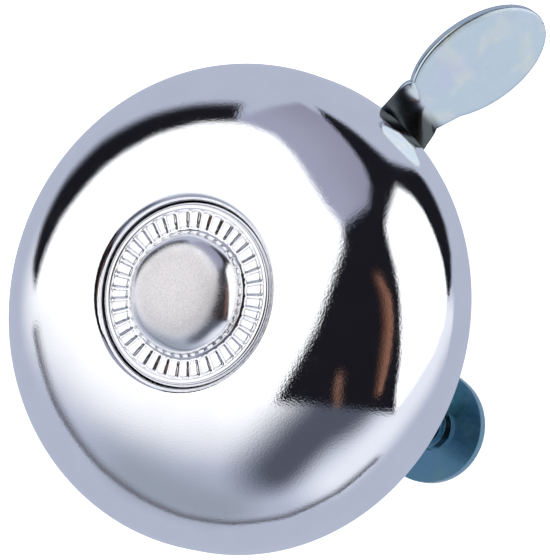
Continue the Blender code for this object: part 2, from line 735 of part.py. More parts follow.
def make_rotor():
    rotor_first = GEAR_ANGLE + math.pi / ROTOR_TEETH
    bore = circle(STUD_BORE, steps=32)
    as_piece(flat("rotor_pinion", [gear_outline(ROTOR_TEETH, rotor_first), bore],
                  ROTOR_LOW, BAR_LOW - REST_GAP), BRASS)
    end = ROTOR_HALF_WIDTH
    outline = arc(end, -math.pi / 2, math.pi / 2, 12, (STRIKER_REACH, 0))
    outline += arc(end, math.pi / 2, 3 * math.pi / 2, 12, (-STRIKER_REACH, 0))
    pins = [circle(PIN_RADIUS + 0.15 * MM, (side * STRIKER_REACH, 0), 24) for side in (1, -1)]
    bar = as_piece(flat("rotor_bar", [outline, bore, *pins], BAR_LOW, BAR_LOW + BAR_THICKNESS), ZINC)
    bar.rotation_euler.z = ROTOR_ANGLE
    clip_top, clip_low = rotor_clip_levels()
    clip = split_ring("rotor_clip", *ROTOR_CLIP, clip_low, clip_top, (0, 0), CLIP_OPENING)
    as_piece(clip, DARK_STEEL)


def rotor_clip_levels():
    low = BAR_LOW + BAR_THICKNESS + REST_GAP
    return low + CLIP_THICKNESS, low


def make_striker(side, end):
    """One loose striker on its pin, with the retainer that keeps it there."""
    at = polar(side * STRIKER_REACH, ROTOR_ANGLE)
    as_piece(washer("striker_" + end, STRIKER_HOLE, STRIKER_RADIUS, STRIKER_LOW,
                    STRIKER_LOW + STRIKER_THICKNESS, at), STEEL)
    retainer_low = STRIKER_LOW + STRIKER_THICKNESS + 0.2 * MM
    retainer_top = retainer_low + CLIP_THICKNESS
    as_piece(washer("striker_retainer_" + end, PIN_RADIUS + 0.1 * MM, RETAINER_RADIUS, retainer_low,
                    retainer_top, at), STEEL)
    steps = [
        (PIN_HEAD_RADIUS, retainer_top + 0.4 * MM, retainer_top + REST_GAP),
        (PIN_RADIUS, retainer_top + REST_GAP, BAR_LOW - REST_GAP),
        (PIN_FOOT_RADIUS, BAR_LOW - REST_GAP, BAR_LOW - REST_GAP - PIN_FOOT_THICKNESS),
    ]
    as_piece(rod("striker_pin_" + end, steps, at), STEEL)


# Gong, its nut and its cap


def dome_height(radius, shrink=0.0):
    """Height above the rim of the dome's surface, or of one that lies this much inside it."""
    share = min(1, radius / (GONG_RADIUS - shrink))
    return SKIRT + (GONG_HEIGHT - SKIRT - shrink) * (1 - share**GONG_POWER) ** (1 / GONG_POWER)


def dome_points(edge, shrink, steps):
    """(radius, height) down the dome from a radius near its top to the skirt, closer together near the skirt."""
    outer = GONG_RADIUS - shrink
    start = math.asin(edge / outer)
    angles = [start + (math.pi / 2 - start) * i / steps for i in range(steps + 1)]
    return [(outer * math.sin(a), dome_height(outer * math.sin(a), shrink)) for a in angles]


def make_gong():
    edge = RECESS_RADIUS + GONG_WALL
    outside = [(THREAD_HOLE, RECESS_FLOOR), (RECESS_RADIUS - RECESS_DRAFT, RECESS_FLOOR)]
    outside += dome_points(RECESS_RADIUS, 0, 13)
    outside.append((GONG_RADIUS, 0))
    inside = [(GONG_RADIUS - GONG_WALL, 0), *reversed(dome_points(edge, GONG_WALL, 9))]
    floor = RECESS_FLOOR - GONG_WALL
    inside += [(edge - RECESS_DRAFT, floor), (THREAD_HOLE, floor)]
    profile = [(r, z + RIM_LEVEL) for r, z in outside + inside]
    as_piece(turned("gong", profile, steps=64, ring=True), CHROME)
    washer_top = RIM_LEVEL + floor - REST_GAP
    as_piece(washer("gong_seat_washer", THREAD_HOLE, SEAT_WASHER_RADIUS, washer_top - SEAT_WASHER_THICKNESS,
                    washer_top), ZINC)


def make_gong_nut():
    low = RIM_LEVEL + RECESS_FLOOR + REST_GAP
    hexagon = circle(NUT_RADIUS, steps=6)
    as_piece(flat("gong_nut", [hexagon, circle(THREAD_HOLE, steps=24)], low, low + NUT_HEIGHT), STEEL)


def boss_height(radius, shrink=0.0):
    share = min(1, radius / (BOSS_RADIUS - shrink))
    return BOSS_HEIGHT * (1 - share**BOSS_POWER) ** (1 / BOSS_POWER)


def make_boss_cap():
    """A pressed cover: rounded boss over the nut, flat ring round it, and a raised bead at its edge."""
    flange = RIM_LEVEL + RECESS_FLOOR + REST_GAP + CAP_SHEET
    angles = [math.radians(90 * i / 7) for i in range(8)]
    boss = [(BOSS_RADIUS * math.sin(a), flange + boss_height(BOSS_RADIUS * math.sin(a))) for a in angles]
    bead = [(BEAD_RADIUS + BEAD_HEIGHT * math.cos(a), flange + BEAD_HEIGHT * math.sin(a))
            for a in (math.radians(180 - 45 * i) for i in range(5))]
    inner = BOSS_RADIUS - CAP_SHEET
    hollow = [(inner * math.sin(a), flange - CAP_SHEET + boss_height(inner * math.sin(a), CAP_SHEET))
              for a in angles]
    edge = [(CAP_RADIUS, flange - CAP_SHEET)]
    profile = boss + bead + edge + list(reversed(hollow))
    as_piece(turned("boss_cap", profile, steps=40), CHROME)


def build():
    clear_scene()
    make_saddle()
    make_strap()
    make_base_plate()
    make_centre_stud()
    make_lever_rivet()
    make_gear_post()
    make_spring_post()
    make_return_spring()
    make_thumb_lever()
    make_double_gear()
    make_rotor()
    for side, end in ((1, "left"), (-1, "right")):
        make_clamp_screw(side, end)
        make_striker(side, end)
    make_gong()
    make_gong_nut()
    make_boss_cap()


build()
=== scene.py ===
"""The looks of a chromed bicycle bell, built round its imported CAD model. Lengths are in metres."""
import json
import math

import bmesh
import bpy
from mathutils import Matrix, Vector

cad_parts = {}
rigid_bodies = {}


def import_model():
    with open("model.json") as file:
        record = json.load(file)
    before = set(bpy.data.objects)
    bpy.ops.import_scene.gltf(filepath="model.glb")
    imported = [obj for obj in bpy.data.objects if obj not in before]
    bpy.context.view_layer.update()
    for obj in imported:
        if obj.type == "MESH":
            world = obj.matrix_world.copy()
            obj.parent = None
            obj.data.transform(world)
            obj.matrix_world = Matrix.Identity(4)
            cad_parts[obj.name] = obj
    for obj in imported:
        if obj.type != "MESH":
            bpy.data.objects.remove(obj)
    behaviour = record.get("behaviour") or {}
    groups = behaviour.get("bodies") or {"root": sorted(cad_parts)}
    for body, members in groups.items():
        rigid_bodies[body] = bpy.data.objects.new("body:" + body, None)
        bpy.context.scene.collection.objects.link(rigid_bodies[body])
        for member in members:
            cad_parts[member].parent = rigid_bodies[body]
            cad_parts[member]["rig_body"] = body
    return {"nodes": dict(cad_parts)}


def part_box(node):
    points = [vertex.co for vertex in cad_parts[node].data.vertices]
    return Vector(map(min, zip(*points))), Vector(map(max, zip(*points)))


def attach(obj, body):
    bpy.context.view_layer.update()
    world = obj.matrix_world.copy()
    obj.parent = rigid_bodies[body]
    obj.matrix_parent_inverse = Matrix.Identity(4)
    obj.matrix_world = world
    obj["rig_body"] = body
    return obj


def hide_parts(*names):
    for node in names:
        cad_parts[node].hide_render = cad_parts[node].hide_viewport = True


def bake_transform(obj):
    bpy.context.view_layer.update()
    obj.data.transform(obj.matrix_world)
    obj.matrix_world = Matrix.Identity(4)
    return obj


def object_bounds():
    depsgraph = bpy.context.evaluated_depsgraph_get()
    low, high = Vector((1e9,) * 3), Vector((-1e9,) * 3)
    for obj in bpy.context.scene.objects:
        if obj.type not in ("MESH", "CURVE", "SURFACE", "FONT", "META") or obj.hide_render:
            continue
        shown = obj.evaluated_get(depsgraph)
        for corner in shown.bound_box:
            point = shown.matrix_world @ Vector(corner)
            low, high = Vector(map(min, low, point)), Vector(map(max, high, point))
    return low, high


MM = 0.001
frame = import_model()
NODES = frame["nodes"]
cad_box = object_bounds()


# Levels and sizes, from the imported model


def middle_of(node):
    low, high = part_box(node)
    return (low + high) / 2


GONG_LOW, GONG_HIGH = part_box("gong")
CAP_LOW, CAP_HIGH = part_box("boss_cap")
RIM = GONG_LOW.z
GONG_RADIUS = GONG_HIGH.x
PIVOT = Vector((14.6, 1.9, 0)) * MM
ARM_LOW = 15.9 * MM
ARM_THICKNESS = 1.2 * MM
ARM_TOP = ARM_LOW + ARM_THICKNESS


# Meshes


def new_object(name, mesh):
    obj = bpy.data.objects.new(name, mesh)
    bpy.context.scene.collection.objects.link(obj)
    return obj


def smooth(obj, angle=32):
    """Smooth shading, with the edges sharper than this angle kept crisp."""
    obj.data.shade_smooth()
    obj.data.set_sharp_from_angle(angle=math.radians(angle))
    return obj


def from_bmesh(name, bm, angle=32):
    bmesh.ops.recalc_face_normals(bm, faces=bm.faces)
    mesh = bpy.data.meshes.new(name)
    bm.to_mesh(mesh)
    bm.free()
    return smooth(new_object(name, mesh), angle)


def loft(name, loops, cap_start=True, cap_end=True, closed=False, angle=32):
    """Skins a row of closed loops that all hold the same number of points."""
    bm = bmesh.new()
    rows = [[bm.verts.new(p) for p in loop] for loop in loops]
    count = len(rows[0])
    pairs = list(zip(rows, rows[1:]))
    if closed:
        pairs.append((rows[-1], rows[0]))
    for a, b in pairs:
        for i in range(count):
            j = (i + 1) % count
            bm.faces.new((a[i], a[j], b[j], b[i]))
    if cap_start and not closed:
        bm.faces.new(rows[0])
    if cap_end and not closed:
        bm.faces.new(rows[-1])
    return from_bmesh(name, bm, angle)


def rounded(corners, steps=5):
    """(radius, height) points with some corners rounded; each corner is (radius, height, rounding)."""
    points = []
    count = len(corners)
    for i, (r, z, fillet) in enumerate(corners):
        here = Vector((r, z))
        if not fillet:
            points.append(here)
            continue
        before = Vector(corners[i - 1][:2]) - here
        after = Vector(corners[(i + 1) % count][:2]) - here
        half = before.angle(after) / 2
        reach = min(fillet / math.tan(half), before.length * 0.49, after.length * 0.49)
        radius = reach * math.tan(half)
        centre = here + (before.normalized() + after.normalized()).normalized() * radius / math.sin(half)
        start = here + before.normalized() * reach - centre
        stop = here + after.normalized() * reach - centre
        turn = start.angle_signed(stop)
        for k in range(steps + 1):
            spoke = start.copy()
            spoke.rotate(Matrix.Rotation(-turn * k / steps, 2))
            points.append(centre + spoke)
    return points


def lathe(name, corners, steps=96, centre=(0, 0), ring=True, angle=32, fine=5):
    """Turns a profile round an upright axis. A ring's profile is closed; another starts and ends on the axis."""
    profile = rounded(corners, fine)
    bm = bmesh.new()
    rings = []
    for r, z in profile:
        if r < 1e-7:
            rings.append([bm.verts.new((centre[0], centre[1], z))])
        else:
            rings.append([
                bm.verts.new((centre[0] + r * math.cos(math.tau * i / steps),
                              centre[1] + r * math.sin(math.tau * i / steps), z))
                for i in range(steps)
            ])
    pairs = list(zip(rings, rings[1:]))
    if ring:
        pairs.append((rings[-1], rings[0]))
    for a, b in pairs:
        for i in range(steps):
            j = (i + 1) % steps
            corners_here = [a[i % len(a)], a[j % len(a)], b[j % len(b)], b[i % len(b)]]
            face = list(dict.fromkeys(corners_here))
            if len(face) > 2:
                bm.faces.new(face)
    return from_bmesh(name, bm, angle)


def tube(name, points, radius, sides=12):
    """A round wire along a smooth row of points, with rounded ends."""
    points = [Vector(p) for p in points]
    loops = []
    tangent = (points[1] - points[0]).normalized()
    side = tangent.orthogonal().normalized()
    for i, point in enumerate(points):
        ahead = points[min(i + 1, len(points) - 1)] - points[max(i - 1, 0)]
        new_tangent = ahead.normalized()
        side = (side - new_tangent * side.dot(new_tangent)).normalized()
        up = new_tangent.cross(side)
        widths = [(0, radius)]
        if i == 0:
            widths = [(-0.7 * radius, 0.5 * radius), (-0.3 * radius, 0.87 * radius), (0, radius)]
        elif i == len(points) - 1:
            widths = [(0, radius), (0.3 * radius, 0.87 * radius), (0.7 * radius, 0.5 * radius)]
        for shift, wide in widths:
            loops.append([
                point + new_tangent * shift
                + (side * math.cos(math.tau * k / sides) + up * math.sin(math.tau * k / sides)) * wide
                for k in range(sides)
            ])
    return loft(name, loops, angle=60)


def smoothstep(low, high, value):
    t = min(1, max(0, (value - low) / (high - low)))
    return t * t * (3 - 2 * t)


def refined(node, bevel, material, slot, name=None, segments=2, angle=28):
    """A finer copy of a CAD node: welded, its flat faces whole again, its edges rounded. It stands for the node."""
    source = NODES[node]
    bm = bmesh.new()
    bm.from_mesh(source.data)
    bmesh.ops.remove_doubles(bm, verts=bm.verts, dist=2e-6)
    bmesh.ops.recalc_face_normals(bm, faces=bm.faces)
    bmesh.ops.dissolve_limit(bm, angle_limit=math.radians(0.6), verts=bm.verts, edges=bm.edges)
    if bevel:
        edges = [e for e in bm.edges
                 if len(e.link_faces) == 2 and e.calc_face_angle(0) > math.radians(angle)]
        bmesh.ops.bevel(bm, geom=edges, offset=bevel, segments=segments, profile=0.5,
                        affect="EDGES", clamp_overlap=True)
    obj = from_bmesh(name or "fine_" + node, bm, 40)
    return finish_piece(obj, source["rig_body"], material, slot, node)


def finish_piece(obj, body, material, slot, *nodes):
    obj.data.materials.clear()
    obj.data.materials.append(material)
    if body:
        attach(obj, body)
    if nodes:
        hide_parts(*nodes)
    return obj


# Materials


class Maker:
    """A node material under construction, read in object coordinates."""

    def __init__(self, name, colour, roughness, metallic=1.0):
        self.material = bpy.data.materials.new(name)
        self.material.use_nodes = True
        self.tree = self.material.node_tree
        self.shader = self.tree.nodes["Principled BSDF"]
        self.shader.inputs["Base Color"].default_value = (*colour, 1)
        self.shader.inputs["Metallic"].default_value = metallic
        self.shader.inputs["Roughness"].default_value = roughness
        self.where = self.add("ShaderNodeTexCoord").outputs["Object"]
        self.height = None

    def add(self, kind, **settings):
        node = self.tree.nodes.new(kind)
        for key, value in settings.items():
            setattr(node, key, value)
        return node

    def link(self, a, b):
        self.tree.links.new(a, b)

    def stretched(self, scale, turn=(0, 0, 0)):
        node = self.add("ShaderNodeMapping")
        self.link(self.where, node.inputs["Vector"])
        node.inputs["Scale"].default_value = scale
        node.inputs["Rotation"].default_value = [math.radians(t) for t in turn]
        return node.outputs["Vector"]

    def noise(self, size, detail=3.0, vector=None, distortion=0.0):
        """Noise whose features are about this size, in metres."""
        node = self.add("ShaderNodeTexNoise")
        self.link(vector or self.where, node.inputs["Vector"])
        node.inputs["Scale"].default_value = 1 / size
        node.inputs["Detail"].default_value = detail
        node.inputs["Distortion"].default_value = distortion
        return node.outputs["Fac"]

    def spread(self, value, low, high, out_low, out_high):
        node = self.add("ShaderNodeMapRange", interpolation_type="SMOOTHSTEP")
        self.link(value, node.inputs["Value"])
        for key, number in (("From Min", low), ("From Max", high), ("To Min", out_low), ("To Max", out_high)):
            node.inputs[key].default_value = number
        return node.outputs["Result"]

    def mixed(self, factor, a, b):
        """Colour a where the factor is 0, b where it is 1; each is a colour or an output."""
        node = self.add("ShaderNodeMix", data_type="RGBA")
        self.link(factor, node.inputs[0])
        for socket, colour in ((node.inputs[6], a), (node.inputs[7], b)):
            if hasattr(colour, "links"):
                self.link(colour, socket)
            else:
                socket.default_value = (*colour, 1)
        return node.outputs[2]

    def maths(self, kind, a, b):
        node = self.add("ShaderNodeMath", operation=kind)
        for socket, value in ((node.inputs[0], a), (node.inputs[1], b)):
            if hasattr(value, "links"):
                self.link(value, socket)
            else:
                socket.default_value = value
        return node.outputs[0]

    def bump(self, value, depth):
        """Raises the surface by this depth in metres where the value is 1; several bumps add up."""
        node = self.add("ShaderNodeBump")
        self.link(value, node.inputs["Height"])
        node.inputs["Distance"].default_value = depth
        node.inputs["Strength"].default_value = 1.0
        if self.height:
            self.link(self.height, node.inputs["Normal"])
        self.height = node.outputs["Normal"]

    def done(self):
        if self.height:
            self.link(self.height, self.shader.inputs["Normal"])
        return self.material

    def set(self, socket, value):
        self.link(value, self.shader.inputs[socket])


def scratches(m, size, length, turn, share):
    """Thin straight marks: 1 on a mark, 0 elsewhere."""
    lines = m.noise(size, 2.0, m.stretched((1, 1 / length, 1), turn))
    return m.spread(lines, 0.5 + share, 0.5 + share + 0.03, 0.0, 1.0)


def chrome(name, colour=(0.93, 0.935, 0.96), shine=0.035):
    """Bright plating: nearly a mirror, with fine pits, hairline marks and a few dull spots."""
    m = Maker(name, colour, shine)
    tone = m.noise(6 * MM, 3.0)
    m.set("Base Color", m.mixed(m.spread(tone, 0.3, 0.7, 0, 1), colour, tuple(c * 0.965 for c in colour)))
    dull = m.spread(m.noise(2.2 * MM, 5.0), 0.35, 0.75, shine, shine + 0.03)
    marks = scratches(m, 0.12 * MM, 16, (0, 0, 35), 0.20)
    m.set("Roughness", m.maths("ADD", dull, m.maths("MULTIPLY", marks, 0.05)))
    m.bump(m.noise(0.20 * MM, 2.5), 0.0065 * MM)
    pits = m.spread(m.noise(0.30 * MM, 1.0), 0.78, 0.82, 0.0, -1.0)
    m.bump(pits, 0.0012 * MM)
    return m.done()


def zinc(name, colour=(0.63, 0.73, 0.79), shine=0.24, tint=(0.74, 0.76, 0.66), grain=(0, 0, 0), dark_reflection_band=None):
    """Blue-passivated zinc: fine rolled grain, a faint yellow and lilac film, dull patches.

    The band, given as (start, direction, first, last), is painted dark there: a painted reflection of dark
    surroundings on the neck.
    """
    m = Maker(name, colour, shine)
    film = m.noise(4.5 * MM, 2.0, distortion=0.6)
    second = m.noise(7 * MM, 2.0, m.stretched((1, 1, 1), (40, 25, 60)))
    lilac = (colour[0] * 1.04, colour[1] * 0.93, colour[2] * 1.06)
    blended = m.mixed(m.spread(film, 0.48, 0.72, 0, 0.55), colour, tint)
    blended = m.mixed(m.spread(second, 0.50, 0.75, 0, 0.7), blended, lilac)
    if dark_reflection_band:
        start, direction, first, last = dark_reflection_band
        offset = m.add("ShaderNodeVectorMath", operation="SUBTRACT")
        m.link(m.where, offset.inputs[0])
        offset.inputs[1].default_value = start
        along = m.add("ShaderNodeVectorMath", operation="DOT_PRODUCT")
        m.link(offset.outputs[0], along.inputs[0])
        along.inputs[1].default_value = direction
        reach = along.outputs["Value"]
        # Painted dark reflection: the colour turns dark between the first and last distance along the direction
        painted_reflection_dark = m.maths("MULTIPLY", m.spread(reach, first - 1.5 * MM, first, 0, 1),
                         m.spread(reach, last - 0.9 * MM, last + 0.5 * MM, 1, 0))
        blended = m.mixed(painted_reflection_dark, blended, (0.085, 0.10, 0.105))
    m.set("Base Color", blended)
    fibre = m.noise(0.28 * MM, 3.0, m.stretched((1, 1 / 9, 1), grain))
    dull = m.spread(m.noise(1.6 * MM, 3.0), 0.3, 0.7, shine - 0.02, shine + 0.04)
    m.set("Roughness", m.maths("ADD", dull, m.spread(fibre, 0.3, 0.75, -0.02, 0.04)))
    m.bump(fibre, 0.0020 * MM)
    specks = m.spread(m.noise(0.6 * MM, 1.0, m.stretched((1, 1, 1), (10, 70, 20))), 0.80, 0.82, 0.0, -1.0)
    m.bump(specks, 0.002 * MM)
    return m.done()


def steel(name, colour, shine=0.34, oiled=0.08):
    """Plain turned or stamped steel under a film of oil."""
    m = Maker(name, colour, shine)
    stain = m.spread(m.noise(1.5 * MM, 4.0), 0.42, 0.75, 0, 1)
    m.set("Base Color", m.mixed(stain, colour, tuple(c * 0.72 for c in colour)))
    m.set("Roughness", m.spread(m.noise(0.8 * MM, 4.0), 0.3, 0.7, shine - oiled, shine + 0.12))
    m.bump(m.noise(0.12 * MM, 3.0), 0.003 * MM)
    return m.done()


CHROME = chrome("chrome_dome")
CHROME_INSIDE = chrome("plating_inside_gong", (0.66, 0.67, 0.70), 0.22)
ZINC = zinc("zinc_plate")
ARM_ANGLE = math.radians(-18)
# Where the lever's neck is painted dark, as a painted reflection of dark surroundings: from the pivot along the arm,
# between these two distances
NECK = (PIVOT, Vector((math.cos(ARM_ANGLE), math.sin(ARM_ANGLE), 0)), 12.5 * MM, 16.0 * MM)
ZINC_LEVER = zinc("zinc_lever", (0.56, 0.66, 0.72), 0.20, grain=(0, 0, 70), dark_reflection_band=NECK)
# The clamp's zinc: its blue tint is the passivation's own, its darkness is painted dark reflection
ZINC_CLAMP_PAINTED_DARK = zinc("zinc_clamp_painted_dark", (0.235, 0.44, 0.53), 0.11, (0.31, 0.49, 0.52))
ZINC_SCREW = zinc("zinc_screws", (0.66, 0.72, 0.76), 0.22)
STEEL = steel("plain_steel", (0.55, 0.56, 0.58))
SPRING = steel("spring_steel", (0.36, 0.37, 0.40), 0.26)
BRASS = steel("brass", (0.76, 0.58, 0.29), 0.26)


def satin_cap():
    """The boss cap: bright flange and sides, and a finely grained satin patch on top of the boss."""
    m = Maker("chrome_cap", (0.92, 0.92, 0.94), 0.16)
    split = m.add("ShaderNodeSeparateXYZ")
    m.link(m.where, split.inputs[0])
    square = m.maths("ADD", m.maths("MULTIPLY", split.outputs[0], split.outputs[0]),
                     m.maths("MULTIPLY", split.outputs[1], split.outputs[1]))
    radius = m.maths("SQRT", square, 0.0)
    uneven = m.maths("ADD", radius, m.maths("MULTIPLY", m.noise(1.2 * MM, 3.0), 0.9 * MM))
    satin = m.spread(uneven, 4.2 * MM, 6.6 * MM, 1.0, 0.0)
    grain = m.noise(0.16 * MM, 4.0)
    speckled = m.mixed(m.spread(grain, 0.35, 0.7, 0, 1), (0.80, 0.77, 0.77), (0.66, 0.64, 0.645))
    m.set("Base Color", m.mixed(satin, (0.93, 0.93, 0.95), speckled))
    m.set("Roughness", m.maths("ADD", m.maths("MULTIPLY", satin, 0.30), m.spread(grain, 0.3, 0.7, 0.14, 0.20)))
    m.bump(m.maths("MULTIPLY", grain, satin), 0.008 * MM)
    m.bump(m.noise(0.5 * MM, 3.0), 0.004 * MM)
    return m.done()


CHROME_CAP = satin_cap()


# Gong

SKIRT = 3.4 * MM
GONG_HEIGHT = 17.6 * MM
GONG_POWER = 2.16
GONG_WALL = 1.0 * MM
RECESS_RADIUS = 10.4 * MM
RECESS_FLOOR = 15.0 * MM
RECESS_DRAFT = 0.2 * MM
EDGE_WIDTH = 1.5 * MM
EDGE_DROP = 1.45 * MM
THREAD_HOLE = 2.15 * MM


def dome_height(radius, shrink=0.0):
    share = min(1, radius / (GONG_RADIUS - shrink))
    return SKIRT + (GONG_HEIGHT - SKIRT - shrink) * (1 - share**GONG_POWER) ** (1 / GONG_POWER)


def dome_points(edge, shrink, steps):
    outer = GONG_RADIUS - shrink
    start = math.asin(edge / outer)
    angles = [start + (math.pi / 2 - start) * i / steps for i in range(steps + 1)]
    return [(outer * math.sin(a), dome_height(outer * math.sin(a), shrink)) for a in angles]


def make_gong():
    edge = RECESS_RADIUS + GONG_WALL
    corners = [(THREAD_HOLE, RECESS_FLOOR, 0.1 * MM), (RECESS_RADIUS - RECESS_DRAFT, RECESS_FLOOR, 0.35 * MM)]
    for k in range(14):
        turn = math.radians(90 * k / 14)
        r = RECESS_RADIUS + EDGE_WIDTH * (1 - math.cos(turn))
        corners.append((r, dome_height(r) - EDGE_DROP * (1 - math.sin(turn)), 0))
    corners += [(r, z, 0) for r, z in dome_points(RECESS_RADIUS + EDGE_WIDTH, 0, 72)]
    corners += [(GONG_RADIUS, 0, 0.38 * MM), (GONG_RADIUS - GONG_WALL, 0, 0.38 * MM)]
    corners += [(r, z, 0) for r, z in reversed(dome_points(edge + 0.9 * MM, GONG_WALL, 40))]
    floor = RECESS_FLOOR - GONG_WALL
    corners += [(edge, dome_height(edge, GONG_WALL), 0.5 * MM), (edge - RECESS_DRAFT, floor, 0.4 * MM),
                (THREAD_HOLE, floor, 0.1 * MM)]
    gong = lathe("fine_gong", [(r, z + RIM, f) for r, z, f in corners], steps=256, angle=50, fine=6)
    finish_piece(gong, "base", CHROME, "chrome_dome", "gong")
    gong.data.materials.append(CHROME_INSIDE)
    for face in gong.data.polygons:
        c = face.center
        out = math.hypot(c.x, c.y)
        below_dome = RIM + dome_height(min(out, GONG_RADIUS - 1e-6)) - c.z > 0.7 * MM
        under = c.z < RIM + RECESS_FLOOR - 0.3 * MM
        if below_dome and under and out < GONG_RADIUS - 0.6 * MM:
            face.material_index = 1


# Boss cap

CAP_SHEET = 0.45 * MM
CAP_RADIUS = 10.05 * MM
BEAD_RADIUS = 9.7 * MM
BEAD_HEIGHT = 0.35 * MM
BOSS_RADIUS = 6.9 * MM
BOSS_HEIGHT = 3.3 * MM
BOSS_POWER = 2.3
FLANGE = CAP_HIGH.z - BOSS_HEIGHT
KNURLS = 39
KNURL_STEPS = 12
KNURL_HEIGHT = 0.30 * MM


def boss_height(radius, edge=BOSS_RADIUS, tall=BOSS_HEIGHT):
    share = min(1, radius / edge)
    return tall * (1 - share**BOSS_POWER) ** (1 / BOSS_POWER)


def cap_height(radius, angle):
    """Height of the cap's top over its flange: boss, pads of the knurled ring, and the bead at the edge."""
    flats = 1 + 0.008 * math.cos(6 * (angle - math.radians(37)))
    edge = BOSS_RADIUS * flats
    boss = boss_height(radius, edge)
    foot = 0.30 * MM * (1 - smoothstep(edge - 0.15 * MM, edge + 0.55 * MM, radius))
    step = math.tau / KNURLS
    wander = 0.06 * math.sin(5 * angle) + 0.05 * math.sin(11 * angle + 1)
    across = abs(((angle / step + wander) % 1) - 0.5) * 2
    pad = 1 - smoothstep(0.60, 0.92, across)
    crown = 1 - 0.35 * across**2
    inner = smoothstep(edge + 0.25 * MM, edge + 0.75 * MM, radius)
    scallop = 0.20 * MM * across**2
    outer = 1 - smoothstep(9.12 * MM - scallop, 9.34 * MM - scallop, radius)
    bump = 0.25 * math.exp(-((radius - edge - 0.95 * MM) / (0.22 * MM)) ** 2)
    knurl = KNURL_HEIGHT * pad * inner * outer * (crown - bump)
    bead = 0.0
    off = abs(radius - BEAD_RADIUS)
    if off < BEAD_HEIGHT:
        bead = BEAD_HEIGHT * math.sqrt(1 - (off / BEAD_HEIGHT) ** 2)
    return max(boss, foot, knurl, bead)


def make_boss_cap():
    steps = KNURLS * KNURL_STEPS
    radii = [BOSS_RADIUS * math.sin(math.radians(a)) for a in range(4, 84, 4)]
    radii += [BOSS_RADIUS + (k - 3) * 0.09 * MM for k in range(12)]
    radii += [BOSS_RADIUS + 0.85 * MM + k * 0.14 * MM for k in range(10)]
    radii += [9.0 * MM + k * 0.065 * MM for k in range(6)]
    radii += [BEAD_RADIUS + BEAD_HEIGHT * math.cos(math.radians(a)) for a in range(170, -1, -15)]
    radii = sorted({round(r, 7) for r in radii})
    bm = bmesh.new()
    top = bm.verts.new((0, 0, FLANGE + BOSS_HEIGHT))
    rings = []
    for radius in radii:
        ring = []
        for i in range(steps):
            angle = math.tau * i / steps
            ring.append(bm.verts.new((radius * math.cos(angle), radius * math.sin(angle),
                                      FLANGE + cap_height(radius, angle))))
        rings.append(ring)
    inner = BOSS_RADIUS - CAP_SHEET
    under = [(CAP_RADIUS, FLANGE - CAP_SHEET * 0.75), (CAP_RADIUS - 0.12 * MM, FLANGE - CAP_SHEET)]
    under += [(inner * math.sin(math.radians(a)),
               FLANGE - CAP_SHEET + boss_height(inner * math.sin(math.radians(a)), inner, BOSS_HEIGHT - 0.05 * MM))
              for a in range(90, 0, -9)]
    for radius, z in under:
        rings.append([bm.verts.new((radius * math.cos(math.tau * i / steps),
                                    radius * math.sin(math.tau * i / steps), z)) for i in range(steps)])
    bottom = bm.verts.new((0, 0, FLANGE - CAP_SHEET + BOSS_HEIGHT - 0.05 * MM))
    for a, b in zip(rings, rings[1:]):
        for i in range(steps):
            j = (i + 1) % steps
            bm.faces.new((a[i], a[j], b[j], b[i]))
    for i in range(steps):
        j = (i + 1) % steps
        bm.faces.new((top, rings[0][i], rings[0][j]))
        bm.faces.new((bottom, rings[-1][j], rings[-1][i]))
    cap = from_bmesh("fine_boss_cap", bm, 60)
    finish_piece(cap, "base", CHROME_CAP, "chrome_cap", "boss_cap")


# Thumb lever: a toothed arm under the gong, twisted and bent into a thumb paddle

ARM_HALF_WIDTH = 3.6 * MM
ARM_LENGTH = 10.4 * MM
SHEET_INSET = 0.05 * MM
HUB_RADIUS = 4.2 * MM
RIVET_HOLE = 2.2 * MM
NECK_START = 10.8 * MM
NECK_LEFT = 2.45 * MM
NECK_RIGHT = 4.35 * MM
NECK_JOIN = -7.7 * MM
NECK_TWIST = 0.64
NECK_SAG = 0.2 * MM
PADDLE_CENTRE = Vector((37.6 * MM, -3.15 * MM, RIM - 4.72 * MM))
PADDLE_ALONG = Vector((0.886, -0.225, -0.405)).normalized()
PADDLE_ACROSS = Vector((0.462, 0.483, 0.744)).normalized()
PADDLE_HALF_LENGTH = 8.65 * MM
PADDLE_HALF_WIDTH = 5.5 * MM
SHEET = 1.14 * MM
EDGE_ROUNDING = 0.24 * MM


def polar(radius, angle):
    return Vector((radius * math.cos(angle), radius * math.sin(angle), 0))


ARM_ALONG = polar(1, ARM_ANGLE)
ARM_LEFT = polar(1, ARM_ANGLE + math.pi / 2)


def hermite(start, start_slope, end, end_slope, t):
    return (start * (2 * t**3 - 3 * t**2 + 1) + start_slope * (t**3 - 2 * t**2 + t)
            + end * (3 * t**2 - 2 * t**3) + end_slope * (t**3 - t**2))


def paddle_edges(reach):
    """The paddle's left and right edge at this distance along it from its centre: an ellipse, or the neck's side."""
    ellipse = PADDLE_HALF_WIDTH * math.sqrt(1 - (reach / PADDLE_HALF_LENGTH) ** 2)
    left = max(ellipse, NECK_LEFT)
    right = max(ellipse, NECK_RIGHT + 0.1 * (reach - NECK_JOIN))
    if reach > 0:
        left = right = ellipse
    middle = PADDLE_CENTRE + PADDLE_ALONG * reach
    return middle + PADDLE_ACROSS * left, middle - PADDLE_ACROSS * right


